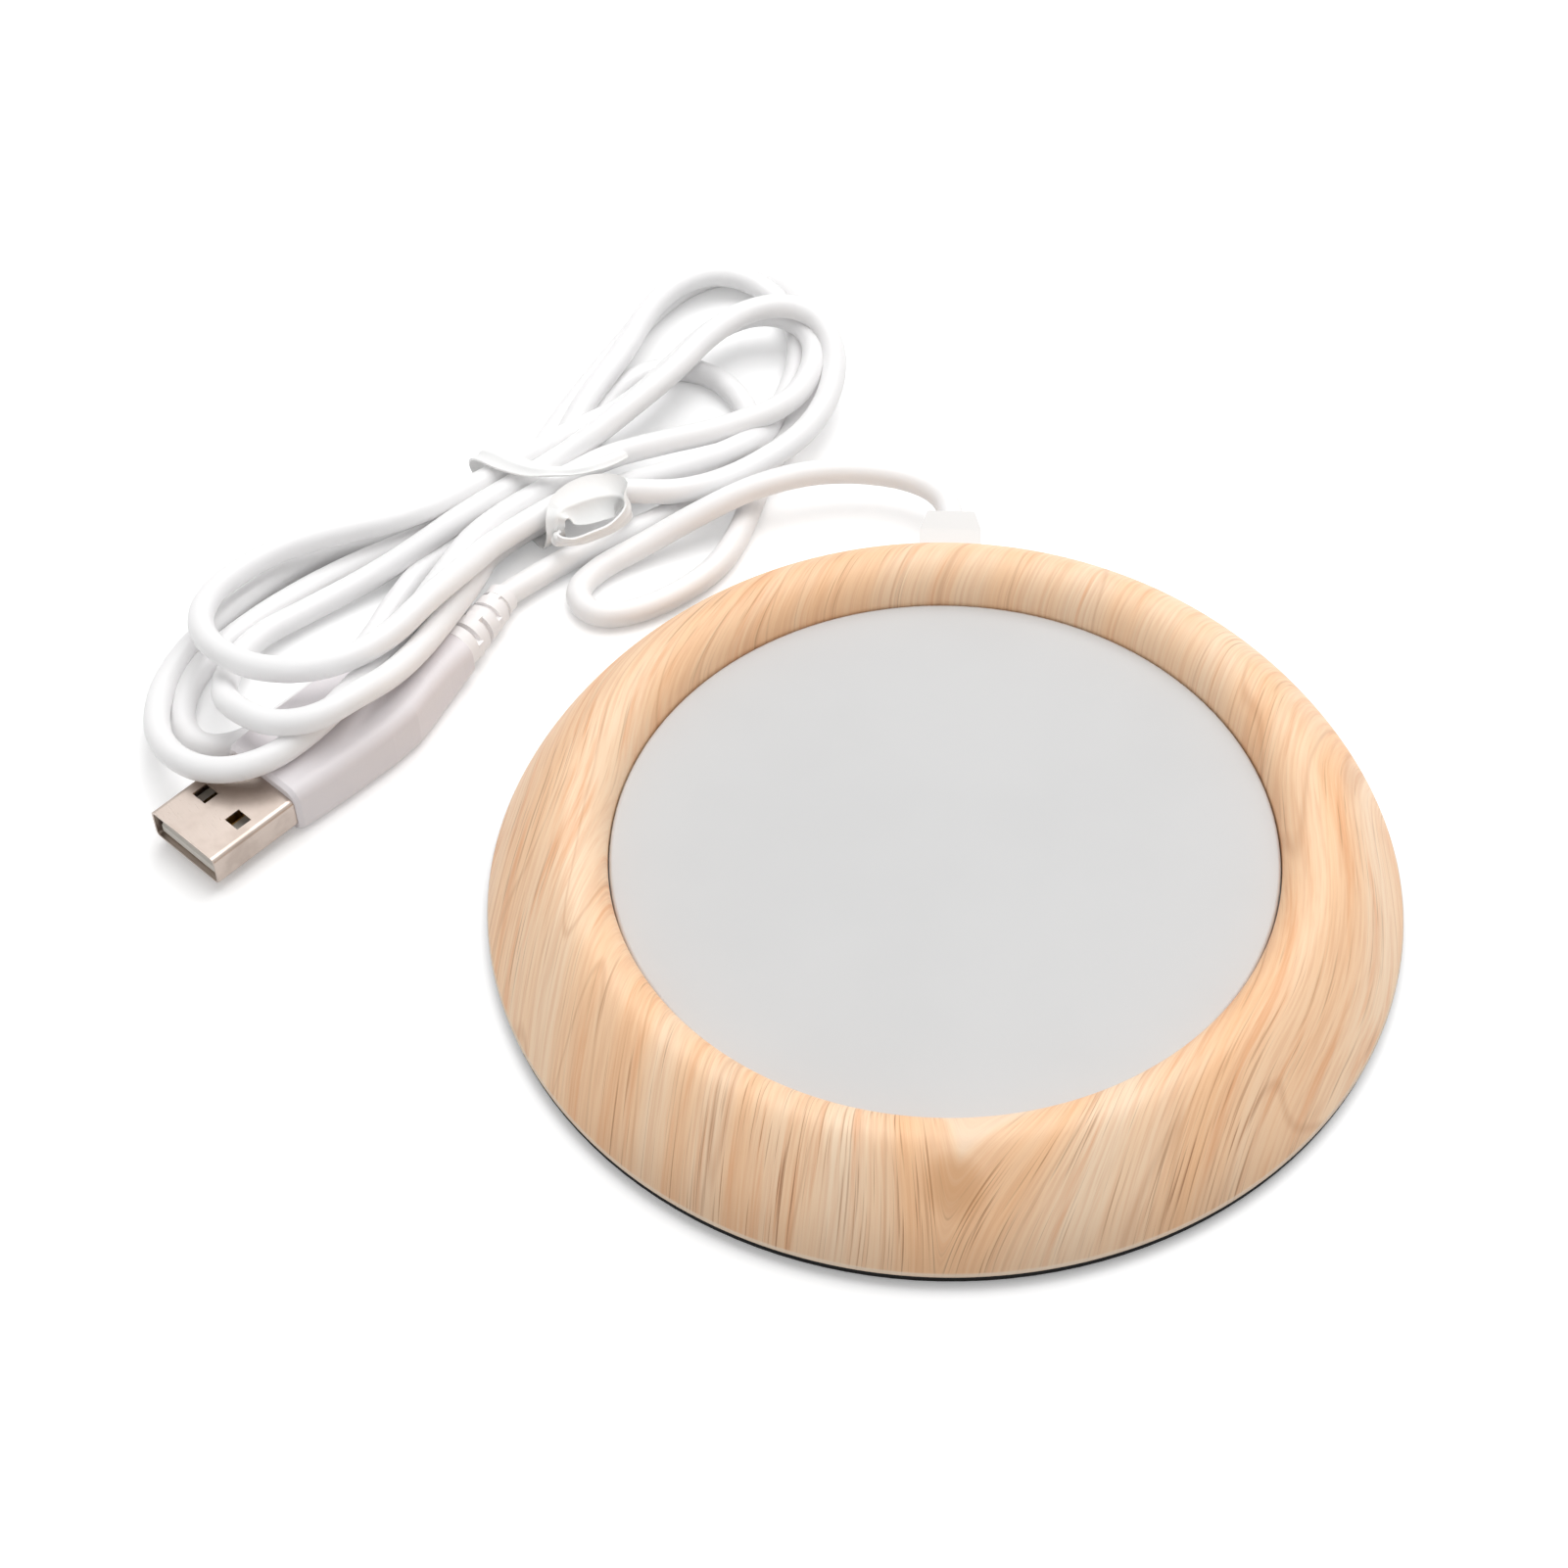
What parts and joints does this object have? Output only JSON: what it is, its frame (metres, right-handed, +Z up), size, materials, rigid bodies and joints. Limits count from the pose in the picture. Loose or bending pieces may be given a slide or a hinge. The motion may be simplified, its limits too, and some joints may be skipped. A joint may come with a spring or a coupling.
{
  "type": "electric mug warmer",
  "caption": "Low round electric mug warmer: wood-look ring, sunken flat heating plate, thin black base, and a slim white lead with a flat plug, tied in a loose hank.",
  "frame": {"origin": "centre of the round footprint, on the surface that the rubber feet stand on", "axes": "+Z up through the ring's centre, +Y towards the boot where the lead leaves, -X towards the plug and the hank"},
  "size_m": [0.1607, 0.1712, 0.014],
  "materials": {
    "wood_print": "moulded plastic with a pale wood-grain print under a satin lacquer",
    "plate_grey": "pale grey baked coating, satin",
    "seal_silicone": "soft silicone",
    "adhesive_grey": "heat-conducting adhesive sheet",
    "film_amber": "thin amber film, slightly glossy",
    "foil_metal": "etched resistance foil",
    "fibre_pad": "pressed fibre pad",
    "cutout_case": "drawn case, plain",
    "lead_red": "thin insulated wire",
    "lead_black": "thin insulated wire",
    "sleeve_black": "shrink sleeve",
    "solder": "bright solder",
    "cover_black": "black moulded plastic, fine texture",
    "screw_steel": "zinc-plated",
    "foot_rubber": "soft black rubber",
    "white_moulding": "soft white moulded plastic",
    "white_jacket": "smooth white cord jacket",
    "tie_white": "flat white strip with a wire core",
    "nickel": "nickel-plated sheet, slightly warm",
    "tongue_white": "white insulator",
    "contact_gold": "gold-plated contact"
  },
  "bodies": {
    "root": {"housing_ring": "wood_print", "heating_plate": "plate_grey", "plate_seal": "seal_silicone", "heater_adhesive": "adhesive_grey", "heater_film": "film_amber", "heater_track": "foil_metal", "insulation_pad": "fibre_pad", "thermal_cutout": "cutout_case", "cutout_strap": "film_amber", "lead_positive": "lead_red", "lead_negative": "lead_black", "lead_bridge": "lead_red", "lead_sleeves": "sleeve_black", "solder_joints": "solder", "base_cover": "cover_black", "base_screws": "screw_steel", "rubber_feet": "foot_rubber", "cord_boot": "white_moulding", "cord_tail": "white_jacket", "cord_clamp": "sleeve_black", "clamp_screws": "screw_steel", "plug_shell": "nickel", "plug_tongue": "tongue_white", "plug_contacts": "contact_gold", "plug_overmould": "white_moulding", "plug_strain_relief": "white_moulding", "power_cord": "white_jacket", "plug_lead": "white_jacket", "cord_hank": "white_jacket", "cord_tie": "tie_white"}
  },
  "joints": []
}
